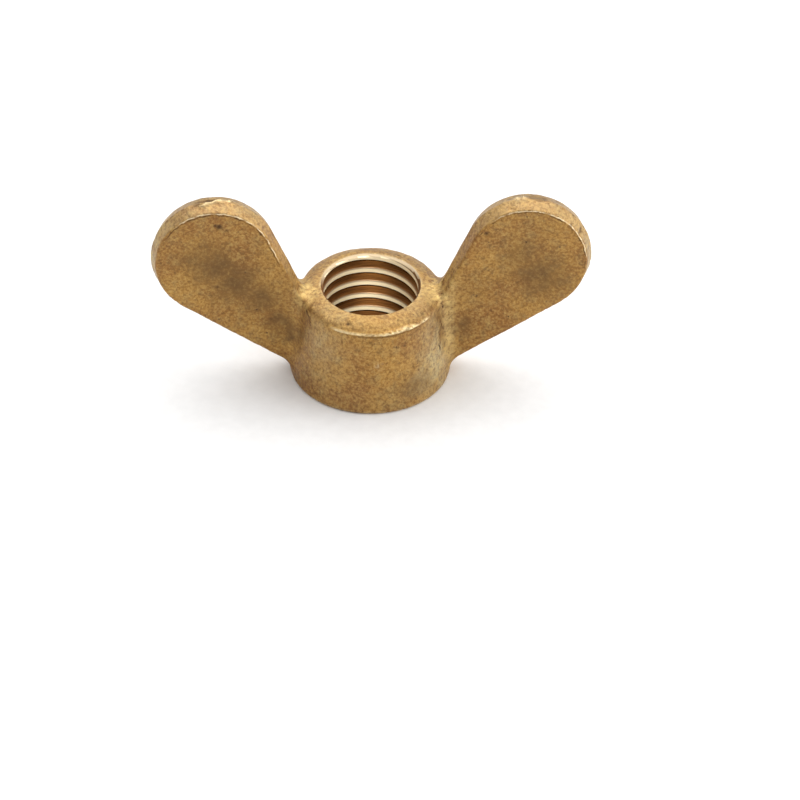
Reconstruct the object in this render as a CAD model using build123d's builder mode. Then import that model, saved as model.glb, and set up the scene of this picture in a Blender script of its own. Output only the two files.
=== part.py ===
from build123d import *
from build123d.topology import SkipClean
from math import atan2, ceil, cos, degrees, radians, sin, sqrt, tan
import os

# A cast brass wing nut for an M12 x 1.75 stud, in one piece: a tapered hub with a domed top, a
# wing on each side of it, and a right-hand thread cut through its bore.
# Millimetres and degrees. The origin is the centre of the seating face, +Z runs up the thread's
# axis, the wings stand along +X and -X, and the front is -Y.

# Thread: M12 coarse, its bore as wide as the 6H fit allows, with 30 degree flanks on both sides
# of a groove whose bottom is an eighth of the pitch wide.
thread_pitch = 1.75
major_radius = 6.0
minor_radius = 5.22
flank_angle = 30.0
root_width = thread_pitch / 8
groove_start_height = -0.79 - thread_pitch

# Hub
base_radius = 8.8
rim_radius = 7.8
rim_height = 10.4
dome_radius = 6.8
dome_height = 11.04
mouth_radius = 5.52
mouth_height = 11.3
seat_edge_rounding = 0.4
rim_rounding = 0.4

# Countersinks at the two ends of the bore, measured from the axis
seat_mouth_radius = 6.3
countersink_angle = 60.0

# Wings: a lobe, an ellipse a little taller than wide, with two straight edges that run down from
# it to the hub. The rim of a wing is widest on its middle plane and drafted towards both faces.
wing_span = 48.3
wing_thickness = 3.2
wing_draft = 17.0
lobe_half_width = 7.0
lobe_half_height = 7.42
lobe_height = 15.58
lower_edge_angle = 33.6
inner_edge_angle = 66.4
root_fillet = 1.2

# Where each wing's outline ends, inside the hub's wall
lower_foot_x = 7.5
inner_foot_x = 6.7
root_x = 4.5
# Half the width that the drafted outline needs at the widest part of the root
root_half_width = 3.4

# Cutters stand this far past what they cut.
margin = 0.5
# The groove's profile reaches this far inside the crest land.
groove_inset = 0.25
# The bore's wall is made of this many equal arcs, so each stretch of crest land is short.
bore_arcs = 8

lobe_x = wing_span / 2 - lobe_half_width
wing_top = lobe_height + lobe_half_height + margin
wing_end = wing_span / 2 + margin


def lobe_turn(across, up):
    """How far round the lobe its edge faces this way, in degrees."""
    return degrees(atan2(lobe_half_height * up, lobe_half_width * across))


def lobe_point(turn):
    """The point of the lobe's edge this far round."""
    across = lobe_half_width * cos(radians(turn))
    up = lobe_half_height * sin(radians(turn))
    return (lobe_x + across, lobe_height + up)


# Where the straight edges leave the lobe, and where they end in the hub
lower_turn = lobe_turn(sin(radians(lower_edge_angle)), -cos(radians(lower_edge_angle)))
inner_turn = lobe_turn(-sin(radians(inner_edge_angle)), cos(radians(inner_edge_angle)))
lower_tangent = lobe_point(lower_turn)
inner_tangent = lobe_point(inner_turn)
lower_foot = (
    lower_foot_x,
    lower_tangent[1] - (lower_tangent[0] - lower_foot_x) * tan(radians(lower_edge_angle)),
)
inner_foot = (
    inner_foot_x,
    inner_tangent[1] - (inner_tangent[0] - inner_foot_x) * tan(radians(inner_edge_angle)),
)


def hub_radius(height):
    """The radius of the hub's tapered side at a height."""
    return base_radius - (base_radius - rim_radius) * height / rim_height


def countersink_depth(radius):
    """How far a countersink with this mouth radius goes down to the crest land."""
    return (radius - minor_radius) / tan(radians(countersink_angle))


with BuildPart() as wing:
    with BuildSketch(Plane.XZ):
        with BuildLine():
            Line(lower_foot, lower_tangent)
            EllipticalCenterArc(
                (lobe_x, lobe_height),
                lobe_half_width,
                lobe_half_height,
                start_angle=lower_turn,
                arc_size=inner_turn - lower_turn,
            )
            Polyline(inner_tangent, inner_foot, lower_foot)
        make_face()
    extrude(amount=root_half_width, both=True, taper=wing_draft)

    # Seen from above, both faces flare into the hub round a fillet that follows its taper.
    for height in (-margin, wing_top):
        fillet_centre_y = wing_thickness / 2 + root_fillet
        centre_distance = hub_radius(height) + root_fillet
        fillet_centre = Vector(sqrt(centre_distance**2 - fillet_centre_y**2), fillet_centre_y)
        hub_point = fillet_centre * (hub_radius(height) / centre_distance)
        face_point = fillet_centre - Vector(0, root_fillet)
        arc_direction = (hub_point - fillet_centre) + (face_point - fillet_centre)
        arc_middle = fillet_centre + arc_direction.normalized() * root_fillet
        with BuildSketch(Plane.XY.offset(height)):
            with BuildLine():
                Polyline((root_x, 0), (root_x, hub_point.Y), hub_point)
                ThreePointArc(hub_point, arc_middle, face_point)
                Polyline(face_point, (wing_end, wing_thickness / 2), (wing_end, 0))
                mirror(about=Plane.XZ)
            make_face()
    loft(ruled=True, mode=Mode.INTERSECT)

with BuildPart() as groove_turn:
    with BuildLine() as turn_path:
        Helix(pitch=thread_pitch, height=thread_pitch, radius=minor_radius)
    groove_depth = major_radius - minor_radius
    groove_mouth = root_width + 2 * (groove_depth + groove_inset) * tan(radians(flank_angle))
    path_start = Plane(turn_path.line @ 0, x_dir=(1, 0, 0), z_dir=turn_path.line % 0)
    with BuildSketch(path_start):
        with BuildLine():
            Polyline(
                (-groove_inset, -groove_mouth / 2),
                (-groove_inset, groove_mouth / 2),
                (groove_depth, root_width / 2),
                (groove_depth, -root_width / 2),
                close=True,
            )
        make_face()
    sweep(path=turn_path.line, is_frenet=True)

with BuildPart() as wing_nut_body:
    # Hub
    with BuildSketch(Plane.XZ) as hub_profile:
        with BuildLine():
            Polyline((0, mouth_height), (0, 0), (base_radius, 0), (rim_radius, rim_height))
            ThreePointArc(
                (rim_radius, rim_height),
                (dome_radius, dome_height),
                (mouth_radius, mouth_height),
            )
            Line((mouth_radius, mouth_height), (0, mouth_height))
        make_face()
        seat_corner = hub_profile.vertices().sort_by_distance((base_radius, 0, 0))[0]
        fillet(seat_corner, radius=seat_edge_rounding)
        rim_corner = hub_profile.vertices().sort_by_distance((rim_radius, rim_height, 0))[0]
        fillet(rim_corner, radius=rim_rounding)
    revolve(axis=Axis.Z)

    # Wings
    add(wing.part)
    mirror(wing.part, about=Plane.YZ)

    # From here the arcs of the bore's wall stay separate faces.
    with SkipClean():
        # Bore and countersinks, one arc at a time
        bore_arc = 360 / bore_arcs
        for arc in range(bore_arcs):
            with BuildSketch(Plane.XZ.rotated((0, 0, arc * bore_arc))):
                with BuildLine():
                    Polyline(
                        (0, -margin),
                        (seat_mouth_radius + margin * tan(radians(countersink_angle)), -margin),
                        (minor_radius, countersink_depth(seat_mouth_radius)),
                        (minor_radius, mouth_height - countersink_depth(mouth_radius)),
                        (
                            mouth_radius + margin * tan(radians(countersink_angle)),
                            mouth_height + margin,
                        ),
                        (0, mouth_height + margin),
                        close=True,
                    )
                make_face()
            revolve(axis=Axis.Z, revolution_arc=bore_arc, clean=False, mode=Mode.SUBTRACT)

        # Thread groove, one turn at a time, from below the seat to above the mouth
        turns = ceil((mouth_height + thread_pitch - groove_start_height) / thread_pitch)
        for turn in range(turns):
            with Locations((0, 0, groove_start_height + turn * thread_pitch)):
                add(groove_turn.part, clean=False, mode=Mode.SUBTRACT)

wing_nut_body.part.label = "wing_nut_body"
os.makedirs("parts", exist_ok=True)
export_step(wing_nut_body.part, "parts/wing_nut_body.step")
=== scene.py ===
import bpy
import numpy as np
from mathutils import Matrix, Vector


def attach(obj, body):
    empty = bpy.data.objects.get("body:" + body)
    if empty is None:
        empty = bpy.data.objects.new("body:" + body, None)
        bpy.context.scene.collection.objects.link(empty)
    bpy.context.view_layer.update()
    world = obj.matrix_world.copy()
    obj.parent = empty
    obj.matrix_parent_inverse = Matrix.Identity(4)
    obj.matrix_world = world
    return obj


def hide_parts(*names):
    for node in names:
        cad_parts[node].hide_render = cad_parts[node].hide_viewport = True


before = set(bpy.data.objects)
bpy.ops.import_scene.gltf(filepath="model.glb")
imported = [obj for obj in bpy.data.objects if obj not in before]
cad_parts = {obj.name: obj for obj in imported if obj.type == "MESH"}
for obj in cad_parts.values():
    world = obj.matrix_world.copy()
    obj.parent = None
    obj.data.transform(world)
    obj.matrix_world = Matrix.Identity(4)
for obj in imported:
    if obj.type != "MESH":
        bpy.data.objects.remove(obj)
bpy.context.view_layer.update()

# A cast brass wing nut. Its skin is one surface, worked out in millimetres from the CAD part's
# dimensions and then given the marks of a sand casting, and its thread is cut out of that skin.
# +Z runs up the thread's axis, the wings stand along +X and -X, and the front is -Y.
MM = 0.001

# Hub and seat
BASE_RADIUS = 8.8
RIM_RADIUS = 7.8
RIM_HEIGHT = 10.4
MOUTH_RADIUS = 5.52
MOUTH_HEIGHT = 11.3
DOME_BULGE = 0.19
SEAT_MOUTH_RADIUS = 6.3
COUNTERSINK_SLOPE = np.tan(np.radians(60))
HUB_TAPER = (BASE_RADIUS - RIM_RADIUS) / RIM_HEIGHT

# Wings
WING_SPAN = 48.3
HALF_THICKNESS = 1.6
DRAFT = np.radians(17)
LOBE_HALF_WIDTH = 7.0
LOBE_HALF_HEIGHT = 7.42
LOBE_HEIGHT = 15.58
LOBE_X = WING_SPAN / 2 - LOBE_HALF_WIDTH
LOBE_TOP = LOBE_HEIGHT + LOBE_HALF_HEIGHT
LOWER_ANGLE = np.radians(33.6)
INNER_ANGLE = np.radians(66.4)

# Thread, M12 x 1.75
PITCH = 1.75
MAJOR_RADIUS = 6.0
MINOR_RADIUS = 5.22
GROOVE_START = -0.79 - PITCH
# Up to this height the groove is cut in full. Over the next stretch it loses this share of its
# depth, in the wall of the mouth.
FULL_GROOVE_HEIGHT = 10.7
GROOVE_FADE_LENGTH = 0.3
GROOVE_FADE_SHARE = 0.65

# How softly the shapes run into each other
ROOT_BLEND = 1.4
ARRIS_BLEND = 0.25
RIM_BLEND = 0.45
SEAT_BLEND = 0.45
# How far the wings' faces sink in towards their middles
DISH_DEPTH = 0.13

# The skin's mesh: the size of its cells along X and Z, how many there are from the middle of a
# wing to its face, and how far the grid of cells reaches past the casting
CELL = 0.182
CELLS_TO_FACE = 9
GRID_MARGIN = 0.6
# The thread's mesh: how many columns it has round the bore, and how far it reaches past the ends
THREAD_COLUMNS = 144
THREAD_MARGIN = 0.4
# How far the countersinks' cones widen past the ends of the bore
CONE_OVERRUN = 0.35


# ---------------------------------------------------------------------------- small sums
def smooth_max(a, b, width):
    """The larger of two values, rounded over this width where they meet."""
    near = np.clip(1 - np.abs(a - b) / width, 0, None)
    return np.maximum(a, b) + near**2 * width / 4


def smooth_min(a, b, width):
    """The smaller of two values, rounded in the same way."""
    return -smooth_max(-a, -b, width)


def step(value, low, high):
    """0 below low, 1 above high, and smooth between them."""
    t = np.clip((value - low) / (high - low), 0, 1)
    return t * t * (3 - 2 * t)


def hump(value, centre, width):
    """1 at the centre, falling smoothly to 0 on both sides."""
    return np.exp(-(((value - centre) / width) ** 2))


def wave_noise(points, wavelength, seed, count=24):
    """Smooth random values, about -1 to 1, with features of this size in millimetres."""
    rng = np.random.default_rng(seed)
    direction = rng.normal(size=(count, 3))
    direction /= np.linalg.norm(direction, axis=1, keepdims=True)
    waves = direction * (2 * np.pi / (wavelength * rng.uniform(0.7, 1.5, (count, 1))))
    phase = rng.uniform(0, 2 * np.pi, count)
    total = np.zeros(len(points))
    for wave, start in zip(waves, phase):
        total += np.cos(points @ wave + start)
    return total / np.sqrt(2 * count)


# ---------------------------------------------------------------------------- the casting
def edge_distance(dx, dz, across, up):
    """Signed distance to the lobe's tangent that faces this way, and whether it is past the lobe."""
    reach = np.hypot(LOBE_HALF_WIDTH * across, LOBE_HALF_HEIGHT * up)
    touch_x = LOBE_HALF_WIDTH**2 * across / reach
    touch_z = LOBE_HALF_HEIGHT**2 * up / reach
    outwards = -up * (dx - touch_x) + across * (dz - touch_z)
    return dx * across + dz * up - reach, outwards * np.sign(across) > 0


def outline_distance(x, z):
    """Signed distance to a wing's outline on its middle plane: a lobe and two tangent edges."""
    dx, dz = x - LOBE_X, z - LOBE_HEIGHT
    lower, past_lower = edge_distance(dx, dz, np.sin(LOWER_ANGLE), -np.cos(LOWER_ANGLE))
    inner, past_inner = edge_distance(dx, dz, -np.sin(INNER_ANGLE), np.cos(INNER_ANGLE))
    size = np.hypot(dx / LOBE_HALF_WIDTH, dz / LOBE_HALF_HEIGHT)
    slope = np.hypot(dx / LOBE_HALF_WIDTH**2, dz / LOBE_HALF_HEIGHT**2)
    lobe = size * (size - 1) / np.maximum(slope, 1e-6)
    nearer_lower = lower > inner
    on_lobe = np.where(nearer_lower, past_lower, past_inner)
    return np.where(on_lobe, lobe, np.where(nearer_lower, lower, inner))


def wing_sides(x, y, z):
    """Signed distances to a wing's face and to its drafted rim, on this point's side."""
    flat = outline_distance(np.abs(x), z)
    dish = DISH_DEPTH * step(-flat, 0.5, 4.5)
    rim = (flat + np.abs(y) * np.tan(DRAFT)) * np.cos(DRAFT)
    return np.abs(y) - HALF_THICKNESS + dish, rim


def hub_distance(x, y, z):
    """Signed distance to the hub's tapered side and domed top."""
    radius = np.hypot(x, y)
    side = (radius - BASE_RADIUS + HUB_TAPER * z) / np.hypot(1, HUB_TAPER)
    across = np.clip((radius - MOUTH_RADIUS) / (RIM_RADIUS - MOUTH_RADIUS), 0, 1.3)
    dome = MOUTH_HEIGHT - (MOUTH_HEIGHT - RIM_HEIGHT) * across
    dome = dome + DOME_BULGE * 4 * across * (1 - across)
    return smooth_max(side, (z - dome) * 0.9, RIM_BLEND)


def casting_distance(points):
    """Signed distance to the casting before it is bored, below 0 inside."""
    x, y, z = points.T
    wings = smooth_max(*wing_sides(x, y, z), ARRIS_BLEND)
    body = smooth_min(hub_distance(x, y, z), wings, ROOT_BLEND)
    return smooth_max(body, -z, SEAT_BLEND)


def gradient(points, reach=0.02):
    """Which way casting_distance grows, and how fast."""
    result = np.empty_like(points)
    for axis in range(3):
        offset = np.zeros(3)
        offset[axis] = reach
        ahead = casting_distance(points + offset)
        behind = casting_distance(points - offset)
        result[:, axis] = (ahead - behind) / (2 * reach)
    return result


def unit(vectors):
    return vectors / np.linalg.norm(vectors, axis=1, keepdims=True)


def bend(points, reach):
    """How sharply the casting bends over this reach: above 0 on an edge, below 0 in a corner."""
    total = -6 * casting_distance(points)
    for axis in range(3):
        offset = np.zeros(3)
        offset[axis] = reach
        total += casting_distance(points + offset) + casting_distance(points - offset)
    return total / reach


def grid_lines():
    """The planes between the cells: even along the wings' faces, and close at the hub's rim."""
    across = HALF_THICKNESS / CELLS_TO_FACE
    half_rows = np.arange(0.5, (BASE_RADIUS + GRID_MARGIN) / across)
    y = across * np.concatenate([-half_rows[::-1], half_rows])
    wing_end = WING_SPAN / 2 + GRID_MARGIN
    x = np.arange(-wing_end, wing_end + CELL, CELL)
    below = np.arange(-0.5, RIM_HEIGHT - 0.7, CELL)
    rim = np.arange(below[-1] + CELL, RIM_HEIGHT + 0.4, CELL / 2)
    above = np.arange(rim[-1] + CELL / 2, LOBE_TOP + GRID_MARGIN + CELL, CELL)
    return x, y, np.concatenate([below, rim, above])


def window(array, corner):
    """The grid's values at one corner of every cell."""
    return array[tuple(slice(c, array.shape[axis] - 1 + c) for axis, c in enumerate(corner))]


def surface_net():
    """Quads where casting_distance is zero, with one vertex in each cell that the skin crosses."""
    lines = grid_lines()
    grid_y, grid_z = np.meshgrid(lines[1], lines[2], indexing="ij")
    value = np.empty([len(line) for line in lines])
    for i, x in enumerate(lines[0]):
        slab = np.stack([np.full(grid_y.size, x), grid_y.ravel(), grid_z.ravel()], axis=1)
        value[i] = casting_distance(slab).reshape(grid_y.shape)
    inside = value < 0

    corners = [(i, j, k) for i in (0, 1) for j in (0, 1) for k in (0, 1)]
    filled = sum(window(inside, corner).astype(np.int8) for corner in corners)
    cells = np.argwhere((filled > 0) & (filled < 8))
    index = np.full(filled.shape, -1)
    index[tuple(cells.T)] = np.arange(len(cells))

    total = np.zeros((len(cells), 3))
    crossings = np.zeros(len(cells))
    for start in corners:
        for axis in range(3):
            if start[axis]:
                continue
            along = np.eye(3, dtype=int)[axis]
            here = cells + start
            value_here = value[tuple(here.T)]
            value_there = value[tuple((here + along).T)]
            crosses = (value_here < 0) != (value_there < 0)
            share = value_here / np.where(crosses, value_here - value_there, 1)
            total += (here + along * share[:, None]) * crosses[:, None]
            crossings += crosses
    place = total / crossings[:, None]
    vertices = np.stack(
        [np.interp(place[:, axis], np.arange(len(lines[axis])), lines[axis]) for axis in range(3)],
        axis=1,
    )

    quads = []
    for axis in range(3):
        u = np.eye(3, dtype=int)[(axis + 1) % 3]
        v = np.eye(3, dtype=int)[(axis + 2) % 3]
        along = np.eye(3, dtype=int)[axis]
        ahead = tuple(slice(c, None) for c in along)
        behind = tuple(slice(None, -1 if c else None) for c in along)
        change = np.argwhere(inside[ahead] != inside[behind])
        ring = [change - u - v, change - v, change, change - u]
        quad = np.stack([index[tuple(cell.T)] for cell in ring], axis=1)
        starts_inside = inside[tuple(change.T)]
        quads.append(np.where(starts_inside[:, None], quad, quad[:, ::-1]))
    return vertices, np.concatenate(quads)


# ---------------------------------------------------------------------------- casting marks
# Small pits on the front faces of the wings: x, z and radius
FACE_PITS = (
    (-16.7, 20.6, 0.30),
    (-17.2, 20.8, 0.20),
    (-15.9, 20.1, 0.17),
    (-12.4, 18.5, 0.16),
    (-18.8, 17.9, 0.14),
    (-16.9, 12.3, 0.18),
    (-10.9, 7.8, 0.15),
    (16.8, 20.8, 0.16),
    (18.9, 21.1, 0.14),
    (21.8, 20.3, 0.20),
    (22.9, 19.2, 0.20),
    (12.6, 19.4, 0.24),
)
# Pits on the hub: degrees round from the front towards +X, height, radius
HUB_PITS = (
    (-1.3, 9.3, 0.2),
    (5.1, 8.0, 0.18),
    (26.7, 8.3, 0.16),
    (-12, 6.2, 0.14),
    (14, 5.4, 0.13),
    (-4, 4.4, 0.14),
)
# Pits in the hub's top: x, y, radius
TOP_PITS = (
    (-2.62, -6.45, 0.21),
    (-2.30, -6.65, 0.12),
    (2.90, -6.10, 0.14),
    (5.60, -4.60, 0.15),
)


def front_angle(x, y):
    """Degrees round the hub from the front, towards +X."""
    return np.degrees(np.arctan2(x, -y))


def flash_lip(points):
    """Metal that was squeezed out along the front of the hub's rim, as outward moves."""
    x, y, z = points.T
    angle = front_angle(x, y)
    thick = step(angle, 8, 13) * (1 - step(angle, 30, 42))
    along = 0.10 * step(angle, -38, -30) * (1 - step(angle, 46, 58))
    along += 0.20 * thick + 0.26 * hump(angle, 9.5, 2.0)
    along *= 1 + 0.5 * wave_noise(points, 1.2, 21) + 0.4 * wave_noise(points, 0.5, 22)
    radius = np.hypot(x, y)
    over = step(z, RIM_HEIGHT - 0.28, RIM_HEIGHT - 0.18)
    over *= 1 - step(z - 0.16 * thick, RIM_HEIGHT - 0.12, RIM_HEIGHT + 0.08)
    over *= step(radius, RIM_RADIUS - 0.8, RIM_RADIUS - 0.3) * (y < 0)
    amount = np.clip(along, 0, None) * over
    return np.stack([x / radius * amount, y / radius * amount, 0.4 * amount], axis=1)


def ground_spot(x, y):
    """How far from the middle of the spot that was ground flat on the right lobe, 1 at its edge."""
    return np.hypot((x - 18.3) / 1.1, (y - 0.4) / 0.56)


def gate_scars(x, y, z):
    """What the saw and the break left on top of the two lobes."""
    top = step(z, LOBE_TOP - 1.8, LOBE_TOP - 0.7)
    left = x + LOBE_X
    wander = 0.07 * np.sin(2.8 * left) + 0.05 * np.sin(6.5 * left + 1)
    ridge = 0.17 * hump(y, wander + 0.05 + 0.26 * left, 0.18)
    ridge *= step(left, -1.9, -1.2) * (1 - step(left, 1.6, 2.3))
    ridge *= 1 + 0.4 * np.sin(4.7 * left)
    hollow = 0.32 * hump(left, -0.8, 1.0) * hump(y, 0.55 + 0.1 * left + wander, 0.28)
    groove = 0.10 * hump(y, wander - 0.2, 0.09)
    groove *= step(left, -2.6, -2.1) * (1 - step(left, -0.9, -0.4))
    lumps = 0.18 * hump(x, 16.0, 0.28) * hump(y, 0.25, 0.3)
    lumps += 0.15 * hump(x, 16.7, 0.24) * hump(y, 0.3, 0.26)
    spot = ground_spot(x, y)
    ground = 0.05 * (1 - step(spot, 0.75, 1.05)) + 0.07 * hump(spot, 1.0, 0.14) * step(-y, -0.5, 0)
    return np.where(x < 0, ridge - hollow - groove, lumps - ground) * top


def pit(away, radius):
    """How deep a round pit is at this distance from its middle."""
    return radius * 0.5 * hump(away, 0, radius)


def pits(points):
    """How deep the pits in the wings' faces, the hub's top and its side are."""
    x, y, z = points.T
    depth = np.zeros(len(points))
    for pit_x, pit_z, radius in FACE_PITS:
        depth += pit(np.hypot(x - pit_x, z - pit_z), radius) * (y < -0.5)
    for pit_x, pit_y, radius in TOP_PITS:
        depth += pit(np.hypot(x - pit_x, y - pit_y), radius) * (z > RIM_HEIGHT)
    for angle, height, radius in HUB_PITS:
        hub_radius = BASE_RADIUS - HUB_TAPER * height
        turn = np.radians(angle)
        centre = np.array([hub_radius * np.sin(turn), -hub_radius * np.cos(turn), height])
        depth += pit(np.linalg.norm(points - centre, axis=1), radius)
    return depth


def relief(points):
    """How far the cast surface stands above the true shape, in millimetres."""
    x, y, z = points.T
    height = 0.025 * wave_noise(points, 4.5, 11) + 0.015 * wave_noise(points, 1.6, 12)
    height += 0.010 * wave_noise(points, 0.65, 13)
    nicks = step(wave_noise(points, 0.9, 14), 0.35, 1.1)
    height -= 0.08 * nicks * step(bend(points, 0.22), 0.25, 0.9)
    height += gate_scars(x, y, z) - pits(points)
    seam = hump(y, 0, 0.14) * step(np.abs(x), 9.5, 10.5)
    height += 0.02 * seam * (1 + wave_noise(points, 1.2, 15))
    return height * step(z, 0.0, 0.5)


def cast_skin():
    """The skin's vertices, drawn onto the casting and then given its marks, and its quads."""
    points, quads = surface_net()
    for _ in range(4):
        slope = gradient(points)
        points = points - slope * (casting_distance(points) / (slope**2).sum(axis=1))[:, None]
    moved = points + unit(gradient(points)) * relief(points)[:, None] + flash_lip(points)
    moved[:, 2] = np.maximum(moved[:, 2], 0)
    return moved, quads


# ---------------------------------------------------------------------------- bore and thread
def thread_radius(phase):
    """The groove's radius at a place along the pitch, whole numbers being its middle."""
    away = np.abs(phase - np.round(phase)) * PITCH
    flank = MAJOR_RADIUS - (away - PITCH / 16) / np.tan(np.radians(30))
    return smooth_min(smooth_max(flank, MINOR_RADIUS, 0.06), MAJOR_RADIUS, 0.1)


def thread_rows():
    """Places along the helix, in pitches from where it starts, and how many make one turn."""
    half = np.array([0, 0.05, 0.07, 0.13, 0.2, 0.26, 0.295, 0.31, 0.325, 0.345, 0.42, 0.5])
    marks = np.concatenate([half, 1 - half[-2:0:-1]])
    first = np.floor((-THREAD_MARGIN - GROOVE_START) / PITCH) - 1
    last = np.ceil((MOUTH_HEIGHT + THREAD_MARGIN - GROOVE_START) / PITCH) + 1
    return (np.arange(first, last)[:, None] + marks).ravel(), len(marks)


def bore_plug():
    """A closed solid of the bore's empty space, its rows of vertices following the helix."""
    rows, rows_in_turn = thread_rows()
    turn_share = np.arange(THREAD_COLUMNS) / THREAD_COLUMNS
    angle = 2 * np.pi * turn_share
    z = GROOVE_START + PITCH * (rows[:, None] + turn_share)
    lower_cone = SEAT_MOUTH_RADIUS + np.minimum(-z * COUNTERSINK_SLOPE, CONE_OVERRUN)
    upper_cone = MOUTH_RADIUS + np.minimum((z - MOUTH_HEIGHT) * COUNTERSINK_SLOPE, CONE_OVERRUN)
    groove_middle = GROOVE_START + PITCH * (np.round(rows)[:, None] + turn_share)
    faded = step(groove_middle, FULL_GROOVE_HEIGHT, FULL_GROOVE_HEIGHT + GROOVE_FADE_LENGTH)
    full_groove = thread_radius(rows)[:, None] - MINOR_RADIUS
    groove = MINOR_RADIUS + full_groove * (1 - GROOVE_FADE_SHARE * faded)
    radius = np.maximum(groove, np.maximum(lower_cone, upper_cone))
    grid = np.stack([radius * np.cos(angle), radius * np.sin(angle), z], axis=-1)
    last_row, last_column = len(rows) - 1, THREAD_COLUMNS - 1

    def vertex(row, column):
        """Past the last column the helix goes on in the first, a turn's rows further up."""
        if column > last_column:
            return (row + rows_in_turn) * THREAD_COLUMNS
        return row * THREAD_COLUMNS + column

    faces = []
    for row in range(last_row):
        for column in range(THREAD_COLUMNS):
            if column < last_column or row + 1 + rows_in_turn <= last_row:
                lower = (vertex(row, column), vertex(row, column + 1))
                upper = (vertex(row + 1, column + 1), vertex(row + 1, column))
                faces.append(lower + upper)

    bottom = [vertex(0, column) for column in range(THREAD_COLUMNS + 1)]
    bottom += [vertex(row, 0) for row in range(rows_in_turn - 1, 0, -1)]
    top = [vertex(last_row, column) for column in range(THREAD_COLUMNS)]
    top += [vertex(row, last_column) for row in range(last_row - 1, last_row - rows_in_turn - 1, -1)]
    centre = len(rows) * THREAD_COLUMNS
    faces += [(centre, b, a) for a, b in zip(bottom, bottom[1:] + bottom[:1])]
    faces += [(centre + 1, a, b) for a, b in zip(top, top[1:] + top[:1])]
    ends = [(0, 0, z[0].mean()), (0, 0, z[-1].mean())]
    return np.concatenate([grid.reshape(-1, 3), ends]), faces


# ---------------------------------------------------------------------------- one mesh
def mesh_object(name, vertices, faces):
    """A new object in the scene, its vertices in metres."""
    mesh = bpy.data.meshes.new(name)
    mesh.from_pydata(np.asarray(vertices).tolist(), [], [tuple(face) for face in faces])
    mesh.update()
    made = bpy.data.objects.new(name, mesh)
    bpy.context.scene.collection.objects.link(made)
    return made


def cut(piece, cutter):
    """Takes the cutter out of the piece, whose new faces keep the cutter's material."""
    modifier = piece.modifiers.new("cut", "BOOLEAN")
    modifier.object = cutter
    modifier.operation = "DIFFERENCE"
    modifier.solver = "EXACT"
    modifier.material_mode = "TRANSFER"
    graph = bpy.context.evaluated_depsgraph_get()
    mesh = bpy.data.meshes.new_from_object(piece.evaluated_get(graph))
    piece.modifiers.remove(modifier)
    piece.data = mesh
    bpy.data.objects.remove(cutter)


def sharpen_bore(mesh, limit=np.radians(28)):
    """Smooth shading on the skin, and crisp edges where the bore was cut."""
    mesh.shade_smooth()
    faces_of_edge = {}
    for face in mesh.polygons:
        for key in face.edge_keys:
            faces_of_edge.setdefault(key, []).append(face)
    sharp = np.zeros(len(mesh.edges), dtype=bool)
    for edge in mesh.edges:
        a, b = faces_of_edge[edge.key]
        if a.material_index + b.material_index > 0:
            sharp[edge.index] = a.normal.angle(b.normal, 0) > limit
    attribute = mesh.attributes.new("sharp_edge", "BOOLEAN", "EDGE")
    attribute.data.foreach_set("value", sharp)


# ---------------------------------------------------------------------------- wear, dirt and painted light and shade
# Dark patches on the front faces: x, z, radius and how dark
FACE_STAINS = (
    (-19.2, 16.4, 2.2, 0.75),
    (-17.2, 15.0, 2.8, 1.0),
    (-14.8, 13.2, 2.8, 1.0),
    (-12.4, 10.8, 2.3, 0.9),
    (-9.9, 7.4, 1.7, 0.9),
    (-8.6, 5.6, 1.1, 0.8),
    (18.6, 13.6, 3.0, 1.0),
    (16.4, 16.4, 2.8, 0.7),
    (17.6, 19.2, 3.2, 0.3),
    (11.4, 12.0, 2.4, 0.3),
    (10.2, 6.9, 1.5, 0.8),
)
# Dark lines: on the front, creases where the wings meet the hub, partly dirt and partly painted shade,
# as x and z of their two ends, and on the hub's top a scratch, as x and y
FRONT_LINES = (
    (-7.6, 10.7, -6.8, 9.8),
    (-6.9, 9.9, -6.6, 9.2),
    (7.70, 10.3, 7.90, 9.6),
    (7.50, 8.5, 7.72, 7.7),
    (7.72, 7.7, 7.50, 6.8),
    (7.42, 5.6, 7.56, 5.0),
)
TOP_LINES = ((3.2, 5.4, 4.7, 4.1),)


def face_stains(points):
    """The dark patches on the wings' front faces, their borders wandering."""
    x, y, z = points.T
    drift_x = 0.5 * wave_noise(points, 2.8, 41)
    drift_z = 0.5 * wave_noise(points, 2.8, 42)
    darkest = np.zeros(len(points))
    for stain_x, stain_z, radius, dark in FACE_STAINS:
        away = np.hypot(x - stain_x + drift_x, z - stain_z + drift_z)
        darkest = np.maximum(darkest, dark * hump(away, 0, radius))
    return darkest


def stains(points):
    """Dark patches, soft at their borders: placed ones on the front faces, and elsewhere random
    ones, the back of the wings' rims, the ground spot and the hub's top."""
    x, y, z = points.T
    anywhere = 0.8 * step(wave_noise(points, 6.5, 43), 0.1, 1.2)
    back_of_rim = 0.5 * step(y, 0.3, 0.75) * step(np.abs(x), 8.5, 10.5)
    on_spot = 0.5 * (1 - step(ground_spot(x, y), 0.85, 1.0)) * step(z, LOBE_TOP - 1, LOBE_TOP - 0.6)
    on_dome = 0.22 * step(z, RIM_HEIGHT - 0.1, RIM_HEIGHT + 0.2) * (1 - step(np.hypot(x, y), 7.0, 7.8))
    elsewhere = np.maximum.reduce([anywhere, back_of_rim, on_spot, on_dome])
    on_front_face = step(-y, 0.3, 1.1) * step(np.abs(x), 7.2, 8.8)
    return face_stains(points) * on_front_face + elsewhere * (1 - on_front_face)


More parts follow.
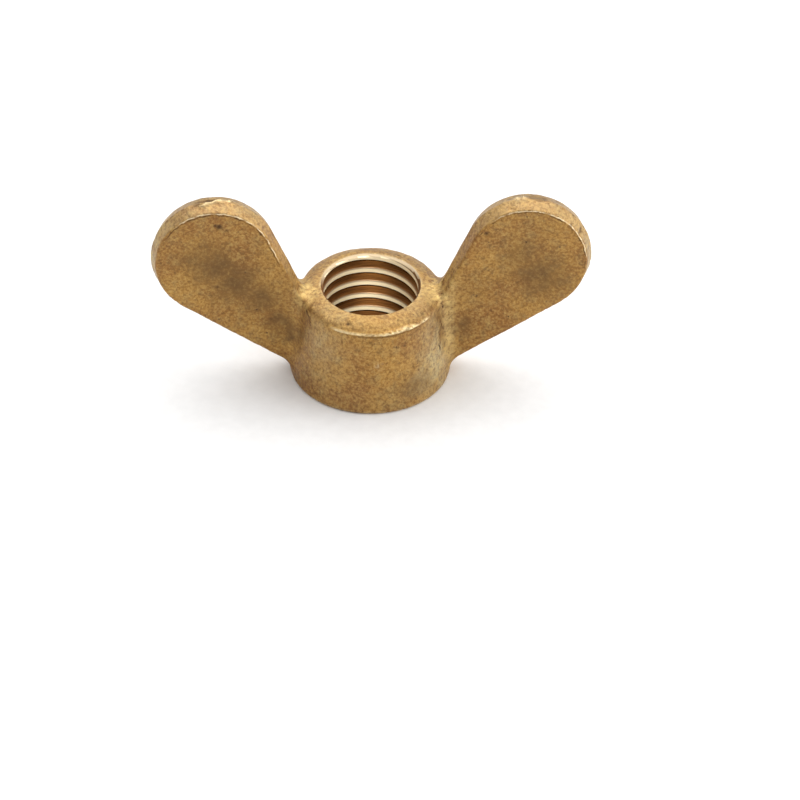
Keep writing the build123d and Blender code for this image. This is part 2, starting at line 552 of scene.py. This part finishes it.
def root_shine(points):
    """Brighter yellow patches at the roots of the wings, most of them on the hub's top, and a band up
    the front of the right wing's root.
    """
    x, y, z = points.T
    patch = hump(np.abs(x), 7.0, 1.3) * hump(y, -0.8, 1.9) * step(z, 9.7, 10.3)
    flare = hump(np.abs(x), 8.6, 0.9) * hump(y, -2.2, 1.1) * step(z, 1.7, 4.5) * (x > 0) * 0.7
    ragged = 0.75 + 0.6 * wave_noise(points, 0.8, 44)
    return np.clip((0.95 * patch + flare) * ragged, 0, 1)


def painted_sheen(points):
    """Painted sheen: a pale grey bloom on the hub's sides and top, a painted highlight on its right
    side, a painted reflection of the floor on its lower front, and paler far ends of the wings' rims.
    """
    x, y, z = points.T
    radius = np.hypot(x, y)
    angle = front_angle(x, y)
    # Painted sheen on the left, painted highlight on the right, painted floor reflection low in front
    side = 0.45 * hump(angle, -44, 20) * hump(z, 7.5, 4.0)
    side += 0.95 * hump(angle, 60, 20) * hump(z, 4.5, 5.5)
    side += 0.09 * hump(angle, 0, 45) * (1 - step(z, 1.5, 6.0))
    side *= 1 - step(radius, 9.0, 9.6)
    top = 0.14 * step(z, RIM_HEIGHT, RIM_HEIGHT + 0.3) * (1 - step(radius, 7.0, 7.8))
    far_ends = 0.6 * step(np.abs(x), 21.0, 24.0) * (1 - step(np.abs(y), 1.2, 1.5))
    return np.clip((side + top + far_ends) * (0.85 + 0.4 * wave_noise(points, 1.8, 47)), 0, 1)


def hollows_and_painted_shade(points):
    """Darker in the corners where a wing meets the hub, partly dirt and partly painted shade, a
    painted shadow under the flash, and darker in the pits and scars.
    """
    x, y, z = points.T
    # Corners darkened: partly dirt, partly painted shade
    corner = step(-bend(points, 0.55), 0.12, 0.5)
    broken = step(wave_noise(points * (1, 1, 0.6), 1.2, 45), -0.1, 0.9)
    angle = front_angle(x, y)
    # Painted shadow under the flash lip
    under_lip = hump(z, RIM_HEIGHT - 0.40, 0.10) * hump(angle, 12, 28) * (y < 0)
    deep = np.clip(pits(points) * 9, 0, 0.85) + np.clip(-gate_scars(x, y, z) * 7, 0, 0.8)
    return np.clip(0.5 * corner * broken + 0.7 * under_lip + deep, 0, 1)


def front_point(x, z):
    """Where a line from the front meets the casting."""
    y = np.linspace(-BASE_RADIUS, 0, 881)
    line = np.stack([np.full(y.size, x), y, np.full(y.size, z)], axis=1)
    return np.array([x, y[np.argmax(casting_distance(line) < 0)], z])


def top_point(x, y):
    """Where a line from above meets the casting."""
    z = np.linspace(MOUTH_HEIGHT + 1, 0, 1231)
    line = np.stack([np.full(z.size, x), np.full(z.size, y), z], axis=1)
    return np.array([x, y, z[np.argmax(casting_distance(line) < 0)]])


def shaded_creases_and_scratches(points):
    """Millimetres from the nearest dark line: the creases of dirt and painted shade where the wings
    meet the hub, and the scratch on the hub's top.
    """
    ends = [(front_point(*line[:2]), front_point(*line[2:])) for line in FRONT_LINES]
    ends += [(top_point(*line[:2]), top_point(*line[2:])) for line in TOP_LINES]
    nearest = np.full(len(points), 2.0)
    for start, end in ends:
        run = end - start
        share = np.clip((points - start) @ run / (run @ run), 0, 1)
        away = np.linalg.norm(points - start - share[:, None] * run, axis=1)
        nearest = np.minimum(nearest, away)
    return nearest


def arris(points):
    """Millimetres from a wing's arris, above 0 on its face and below 0 on its rim."""
    face, rim = wing_sides(*points.T)
    return np.clip(face - rim, -2, 2)


def painted_light_side(points):
    """How far a wing's edge faces up and to the right, from -1 to 1, which places the painted
    highlight and the painted shadow line along the arris.
    """
    x, y, z = points.T
    across = x - np.sign(x) * LOBE_X
    up = z - LOBE_HEIGHT
    facing = (0.45 * across + 0.9 * up) / np.maximum(np.hypot(across, up), 1)
    return facing * step(z, 13.0, 16.5)


def wear_and_painted_highlight(points):
    """Pale rubbed metal on the hub's edges, the wings' scars and a fleck; the wings' rims pale, partly
    wear and partly painted highlight; and a painted highlight on the flash and the back of the mouth.
    """
    x, y, z = points.T
    normal = unit(gradient(points))
    edge = step(bend(points, 0.25), 0.25, 0.8) * (np.abs(x) < 8.5) * 0.4
    edge *= 0.45 + 0.55 * step(wave_noise(points, 1.2, 46), -0.6, 0.5)
    # Wings' rims: partly wear, partly painted highlight
    rim = 0.24 * step(np.abs(normal[:, 2]), 0.2, 0.8) * (np.abs(normal[:, 1]) < 0.6)
    rim *= step(np.abs(x), 8.5, 10)
    # Painted highlight on the flash lip and on the mouth's edge, brightest at the back
    lip = np.linalg.norm(flash_lip(points), axis=1) * 9
    mouth = 0.5 * hump(np.hypot(x, y), MOUTH_RADIUS, 0.14) * step(z, 10.9, 11.1)
    mouth *= np.clip(0.55 + 0.12 * y + 0.5 * wave_noise(points, 1.4, 48), 0, 1)
    scar = np.clip(gate_scars(x, y, z) * 5, 0, 0.7)
    fleck = hump(front_angle(x, y), 5.0, 2.4) * hump(z, 6.3, 0.34) * (y < 0)
    fleck *= 1.3 * step(wave_noise(points, 0.5, 49), -0.1, 0.5)
    return np.clip(edge + rim + lip + mouth + scar + fleck, 0, 1)


def cut_metal_and_painted_light(points):
    """How bright the tapped metal is painted. A crest is pale cut metal whose painted highlight is
    brightest low down, with a painted shadow under its lower edge; a countersink is pale with a
    painted highlight at the back.
    """
    x, y, z = points.T
    turn = np.arctan2(y, x) / (2 * np.pi)
    phase = (z - GROOVE_START) / PITCH - turn
    above_middle = (phase - np.floor(phase) - 0.5) * PITCH
    # The crest's painted highlight fades upwards, and a painted shadow cuts it off under the lower
    # edge
    fade_up = 0.95 * np.maximum(above_middle + 0.15, 0)
    fade_down = 8 * np.maximum(-0.24 - above_middle, 0)
    crest = 1.25 - fade_up - fade_down
    upper_cone = MOUTH_RADIUS + (z - MOUTH_HEIGHT) * COUNTERSINK_SLOPE
    lower_cone = SEAT_MOUTH_RADIUS - z * COUNTERSINK_SLOPE
    countersunk = np.hypot(x, y) - np.maximum(upper_cone, lower_cone) < 0.06
    # Countersinks: painted highlight brightest at the back
    return np.where(countersunk, 0.88 - 0.23 * step(-y, -2.5, 2.5), crest)


def paint(mesh):
    """Stores each mask's values on the mesh under its own name, for the materials to read."""
    places = np.empty(len(mesh.vertices) * 3)
    mesh.vertices.foreach_get("co", places)
    points = places.reshape(-1, 3) / MM
    skin_masks = (stains, root_shine, painted_sheen, hollows_and_painted_shade, shaded_creases_and_scratches, arris, painted_light_side, wear_and_painted_highlight)
    for mask in (*skin_masks, cut_metal_and_painted_light):
        attribute = mesh.attributes.new(mask.__name__, "FLOAT", "POINT")
        attribute.data.foreach_set("value", mask(points))


# ---------------------------------------------------------------------------- materials
class Shading:
    """A material's nodes, each added and linked in one call. Sizes are in millimetres."""

    def __init__(self, name):
        self.material = bpy.data.materials.new(name)
        self.material.use_nodes = True
        self.tree = self.material.node_tree
        self.shader = self.tree.nodes["Principled BSDF"]
        self.place = self.add("ShaderNodeTexCoord").outputs["Object"]

    def add(self, kind, inputs=(), **settings):
        """A new node, its inputs given by their names or numbers."""
        node = self.tree.nodes.new(kind)
        for name, value in settings.items():
            setattr(node, name, value)
        for name, value in dict(inputs).items():
            self.feed(node.inputs[name], value)
        return node

    def feed(self, socket, value):
        """Links a node's output to the socket, or sets it to a number or a colour."""
        if isinstance(value, bpy.types.NodeSocket):
            self.tree.links.new(value, socket)
        elif socket.type == "RGBA":
            socket.default_value = (*value, 1)
        else:
            socket.default_value = value

    def noise(self, size, detail=3, rough=0.55, where=None):
        """Soft random values around 0.5, with features of this size."""
        inputs = {"Scale": 1 / (size * MM), "Detail": detail, "Roughness": rough}
        inputs["Vector"] = where or self.place
        return self.add("ShaderNodeTexNoise", inputs).outputs["Fac"]

    def grains(self, size):
        """Distance from the nearest of many random points, 0 on a point."""
        inputs = {"Vector": self.place, "Scale": 1 / (size * MM)}
        return self.add("ShaderNodeTexVoronoi", inputs).outputs["Distance"]

    def mask(self, name):
        """One of the values that paint stored on the mesh."""
        return self.add("ShaderNodeAttribute", attribute_name=name).outputs["Fac"]

    def levels(self, value, low, high, to_low=0.0, to_high=1.0):
        """Goes smoothly from to_low to to_high as the value goes from low to high."""
        inputs = {"Value": value, "From Min": low, "From Max": high}
        inputs |= {"To Min": to_low, "To Max": to_high}
        node = self.add("ShaderNodeMapRange", inputs, interpolation_type="SMOOTHSTEP")
        return node.outputs["Result"]

    def math(self, operation, a, b, clamp=False):
        node = self.add("ShaderNodeMath", operation=operation, use_clamp=clamp)
        self.feed(node.inputs[0], a)
        self.feed(node.inputs[1], b)
        return node.outputs[0]

    def product(self, a, b):
        return self.math("MULTIPLY", a, b)

    def larger(self, a, b):
        return self.math("MAXIMUM", a, b)

    def stripe(self, value, middle, core, edge):
        """1 where the value is no further than the core from the middle, and 0 past the edge."""
        away = self.math("ABSOLUTE", self.math("SUBTRACT", value, middle), 0)
        return self.levels(away, edge, core)

    def mix(self, factor, a, b):
        """Colour a, turning into colour b as the factor goes from 0 to 1."""
        node = self.add("ShaderNodeMix", data_type="RGBA")
        self.feed(node.inputs["Factor"], factor)
        self.feed(node.inputs[6], a)
        self.feed(node.inputs[7], b)
        return node.outputs[2]

    def set(self, **values):
        """Feeds the shader's own inputs."""
        for name, value in values.items():
            self.feed(self.shader.inputs[name.replace("_", " ").title()], value)

    def bump(self, height, depth):
        """Relief this deep, in millimetres, where the height goes from 0 to 1."""
        node = self.add("ShaderNodeBump", {"Height": height, "Distance": depth * MM})
        self.feed(self.shader.inputs["Normal"], node.outputs["Normal"])


# Linear colours
BRONZE = (0.300, 0.140, 0.034)
GOLDEN = (0.405, 0.214, 0.050)
KHAKI = (0.340, 0.206, 0.068)
# Pale grey of the painted sheen
SHEEN_COLOR = (0.560, 0.450, 0.235)
STAIN = (0.155, 0.078, 0.022)
# Dark dirt, also the colour of painted shade and shadow lines
DIRT_AND_SHADE = (0.075, 0.032, 0.011)
YELLOW = (0.680, 0.460, 0.150)
BRIGHT_YELLOW = (0.740, 0.530, 0.200)
# Pale worn metal, also the colour of painted highlights
PALE = (0.800, 0.640, 0.360)
# Cream cut metal, also the colour of the painted highlights on crests and arrises
CREAM = (1.000, 0.845, 0.560)
GROOVE_BROWN = (0.115, 0.042, 0.009)
GROOVE_LIGHT = (0.200, 0.078, 0.017)
CARD_DARK = (0.86, 0.86, 0.86)
CARD_LIGHT = (0.89, 0.89, 0.89)


def cast_color(s, mottle, sand, stain, wear_and_highlight):
    """Clouds of bronze and gold, with the stains, the painted sheen, the yellow root patches, and the
    rubbed metal and painted highlights over them.
    """
    cloud = s.noise(5.5, detail=4)
    color = s.mix(s.levels(cloud, 0.38, 0.62), BRONZE, GOLDEN)
    color = s.mix(s.levels(mottle, 0.45, 0.75), color, KHAKI)
    color = s.mix(stain, color, STAIN)
    # Painted sheen: pale grey where light plays on the hub
    sheen_amount = s.product(s.mask("painted_sheen"), s.levels(sand, 0.3, 0.6, 0.6, 1.0))
    color = s.mix(sheen_amount, color, SHEEN_COLOR)
    shine = s.product(s.mask("root_shine"), s.levels(sand, 0.34, 0.56, 0.35, 1.0))
    color = s.mix(shine, color, BRIGHT_YELLOW)
    return s.mix(wear_and_highlight, color, PALE)


def speckled(s, color, sand, grain, strength):
    """The colour with dark and yellow specks of two sizes over it."""
    color = s.mix(s.product(s.levels(grain, 0.52, 0.34, 0.0, 0.37), strength), color, DIRT_AND_SHADE)
    color = s.mix(s.product(s.levels(grain, 0.48, 0.66, 0.0, 0.26), strength), color, YELLOW)
    color = s.mix(s.product(s.levels(sand, 0.46, 0.30, 0.0, 0.40), strength), color, DIRT_AND_SHADE)
    return s.mix(s.product(s.levels(sand, 0.54, 0.72, 0.0, 0.42), strength), color, YELLOW)


def arris_lines(s, mottle, ragged):
    """A painted highlight along the wings' arrises where they face up and right, broken and partly
    burnished metal, and a painted shadow line beside it on the face.
    """
    from_arris = s.math("ADD", s.mask("arris"), s.product(ragged, 0.35))
    painted_light_side = s.mask("painted_light_side")
    # Painted highlight, partly burnished metal
    bright = s.product(s.stripe(from_arris, 0.0, 0.03, 0.10), s.levels(painted_light_side, 0.3, 0.6))
    bright = s.product(bright, s.levels(mottle, 0.38, 0.56, 0.15, 0.75))
    # Painted shadow line beside the arris
    dark = s.product(s.stripe(from_arris, 0.19, 0.03, 0.11), s.levels(painted_light_side, 0.05, 0.2))
    dark = s.product(dark, s.levels(mottle, 0.40, 0.56, 0.1, 0.7))
    return bright, dark


def dirt_and_shade_marks(s, sand, ragged):
    """Dark marks: dirt and painted shade in the corners and creases, a painted shadow under the flash,
    and darker pits, scars and the scratch.
    """
    line_darkness = s.math("ADD", s.mask("shaded_creases_and_scratches"), s.product(ragged, 0.9))
    line_darkness = s.product(s.levels(line_darkness, 0.13, 0.03), s.levels(sand, 0.36, 0.5, 0.2, 1.0))
    hollows_and_shade = s.product(s.mask("hollows_and_painted_shade"), s.levels(sand, 0.25, 0.55, 0.5, 1.0))
    return s.larger(hollows_and_shade, line_darkness)


def cast_skin_material():
    """Brass as it left the sand: mottled and speckled, darker in the hollows, pale on worn edges, with
    painted highlights, sheen and shade.
    """
    s = Shading("cast_skin")
    mottle = s.noise(1.5, detail=5, rough=0.65)
    sand = s.noise(0.62, detail=3, rough=0.7)
    grain = s.noise(0.32, detail=2, rough=0.65)
    ragged = s.math("SUBTRACT", s.noise(0.6, detail=3), 0.5)

    stain = s.product(s.mask("stains"), s.levels(mottle, 0.15, 0.6, 0.7, 1.0))
    # Pale rubbed metal, with painted highlights on the wings' rims, the flash and the back of the
    # mouth
    wear_and_highlight = s.product(s.mask("wear_and_painted_highlight"), s.levels(sand, 0.3, 0.6, 0.5, 1.0))
    speckle = s.levels(s.larger(wear_and_highlight, stain), 0.0, 1.0, 1.0, 0.3)
    # A painted highlight and a painted shadow line along the arrises
    painted_highlight_line, painted_shadow_line = arris_lines(s, mottle, ragged)
    # Dirt and painted shade, with the painted shadow line beside the arris
    dirt_and_shade = s.larger(dirt_and_shade_marks(s, sand, ragged), painted_shadow_line)
    holes = s.product(s.levels(s.grains(0.9), 0.13, 0.05), s.levels(mottle, 0.5, 0.62))

    color = cast_color(s, mottle, sand, stain, wear_and_highlight)
    color = speckled(s, color, sand, grain, speckle)
    color = s.mix(painted_highlight_line, color, CREAM)
    color = s.mix(s.larger(holes, dirt_and_shade), color, DIRT_AND_SHADE)

    rough = s.levels(sand, 0.3, 0.7, 0.42, 0.58)
    rough = s.math("SUBTRACT", rough, s.product(wear_and_highlight, 0.12))
    rough = s.math("ADD", rough, s.product(dirt_and_shade, 0.25), clamp=True)
    s.set(base_color=color, roughness=rough, metallic=0.85, coat_weight=0.2, coat_roughness=0.5)

    height = s.math("ADD", s.product(sand, 0.6), s.product(grain, 0.4))
    s.bump(s.math("SUBTRACT", height, s.product(holes, 0.8)), 0.11)
    return s.material


def cut_thread_material():
    """Tapped brass: pale on the crests and countersinks with painted highlights, a painted shadow
    under each crest, brown and streaked in the groove.
    """
    s = Shading("cut_thread")
    # Streaks that run round the bore: the noise is stretched fifty times across the axis.
    flat = s.add("ShaderNodeVectorMath", {0: s.place, 1: (0.02, 0.02, 1.0)}, operation="MULTIPLY")
    streaks = s.noise(0.07, detail=3, where=flat.outputs[0])
    grain = s.noise(0.2, detail=3)
    # Pale crests and countersinks with painted highlights, and a painted shadow under each crest
    bright = s.levels(s.mask("cut_metal_and_painted_light"), 0.72, 1.05)
    groove = s.mix(s.levels(streaks, 0.35, 0.65), GROOVE_BROWN, GROOVE_LIGHT)
    s.set(base_color=s.mix(bright, groove, CREAM), metallic=s.levels(bright, 0.0, 1.0, 0.9, 0.35))
    s.set(roughness=s.levels(grain, 0.3, 0.7, 0.42, 0.56))
    s.bump(grain, 0.02)
    return s.material


def floor_material():
    """Matt white card with a faint tooth."""
    s = Shading("white_card")
    tooth = s.noise(1.5, detail=4)
    s.set(base_color=s.mix(s.levels(tooth, 0.3, 0.7), CARD_DARK, CARD_LIGHT))
    s.set(roughness=s.levels(tooth, 0.3, 0.7, 0.85, 0.95))
    s.bump(tooth, 0.05)
    return s.material


# ---------------------------------------------------------------------------- the object
def add_wing_nut():
    """The bored and painted nut, in place of the CAD part's one node."""
    points, quads = cast_skin()
    nut = mesh_object("wing_nut", points * MM, quads)
    vertices, faces = bore_plug()
    plug = mesh_object("bore_plug", vertices * MM, faces)
    nut.data.materials.append(cast_skin_material())
    plug.data.materials.append(cut_thread_material())
    cut(nut, plug)
    sharpen_bore(nut.data)
    paint(nut.data)
    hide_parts("wing_nut_body")
    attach(nut, "root")


def add_floor():
    """A square of card, two metres wide."""
    floor = mesh_object("floor", [(-1, -1, 0), (1, -1, 0), (1, 1, 0), (-1, 1, 0)], [(0, 1, 2, 3)])
    floor.data.materials.append(floor_material())


# ---------------------------------------------------------------------------- camera and light
# The camera's place and roll in degrees, and its distance, view and sensor in millimetres
CAMERA_AZIMUTH = -1.8
CAMERA_ELEVATION = 38
CAMERA_ROLL = 0.56
CAMERA_DISTANCE = 4000
VIEW_WIDTH = 87.94
SENSOR_WIDTH = 36
# Where the middle of the view lies from the origin: to the right and up, across the view
VIEW_MIDDLE = (3.29, -3.76)
SKY_STRENGTH = 0.78


def turned(azimuth, elevation):
    """The way out from the object this many degrees round, from the front to +X, and up."""
    round_z, up = np.radians(azimuth), np.radians(elevation)
    return Vector((np.sin(round_z) * np.cos(up), -np.cos(round_z) * np.cos(up), np.sin(up)))


def add_camera():
    """A long lens from far off, because the photograph's view has next to no perspective."""
    data = bpy.data.cameras.new("camera")
    data.sensor_width = SENSOR_WIDTH
    data.lens = SENSOR_WIDTH * CAMERA_DISTANCE / VIEW_WIDTH
    data.clip_start = 0.01
    camera = bpy.data.objects.new("camera", data)
    back = turned(CAMERA_AZIMUTH, CAMERA_ELEVATION)
    facing = back.to_track_quat("Z", "Y").to_matrix()
    facing = facing @ Matrix.Rotation(np.radians(CAMERA_ROLL), 3, "Z")
    middle = facing @ Vector((*VIEW_MIDDLE, 0))
    camera.matrix_world = Matrix.Translation((middle + back * CAMERA_DISTANCE) * MM) @ facing.to_4x4()
    bpy.context.scene.collection.objects.link(camera)
    bpy.context.scene.camera = camera


def place_light(data, azimuth, elevation, distance, target=(0, 0, 0)):
    """Stands a light off from a target and faces it there. In degrees and metres."""
    light = bpy.data.objects.new(data.name, data)
    away = turned(azimuth, elevation)
    light.location = Vector(target) + away * distance
    light.rotation_euler = away.to_track_quat("Z", "Y").to_euler()
    bpy.context.scene.collection.objects.link(light)


def softbox(name, width, height, power):
    """An even rectangle of light, its size in metres."""
    data = bpy.data.lights.new(name, "AREA")
    data.shape = "RECTANGLE"
    data.size = width
    data.size_y = height
    data.energy = power
    return data


def narrow_beam(name, spread, power):
    """A soft-edged spot, this many degrees wide."""
    data = bpy.data.lights.new(name, "SPOT")
    data.energy = power
    data.spot_size = np.radians(spread)
    data.spot_blend = 0.4
    data.shadow_soft_size = 0.004
    return data


def light_studio():
    """A white sky, two softboxes, and a beam to the wall of the bore that the camera sees."""
    world = bpy.data.worlds.new("studio")
    world.use_nodes = True
    sky = world.node_tree.nodes["Background"]
    sky.inputs["Color"].default_value = (1, 1, 1, 1)
    sky.inputs["Strength"].default_value = SKY_STRENGTH
    bpy.context.scene.world = world

    overhead = softbox("overhead", width=0.9, height=0.6, power=3.0)
    place_light(overhead, azimuth=170, elevation=62, distance=0.55)
    right_side = softbox("right_side", width=0.5, height=0.4, power=1.3)
    place_light(right_side, azimuth=80, elevation=16, distance=0.5)
    bore_light = narrow_beam("bore_light", spread=2.2, power=3.2)
    mouth = (0, 0, MOUTH_HEIGHT * MM)
    place_light(bore_light, azimuth=0, elevation=46, distance=0.2, target=mouth)


add_wing_nut()
add_floor()
add_camera()
light_studio()
bpy.context.scene.view_settings.view_transform = "Standard"
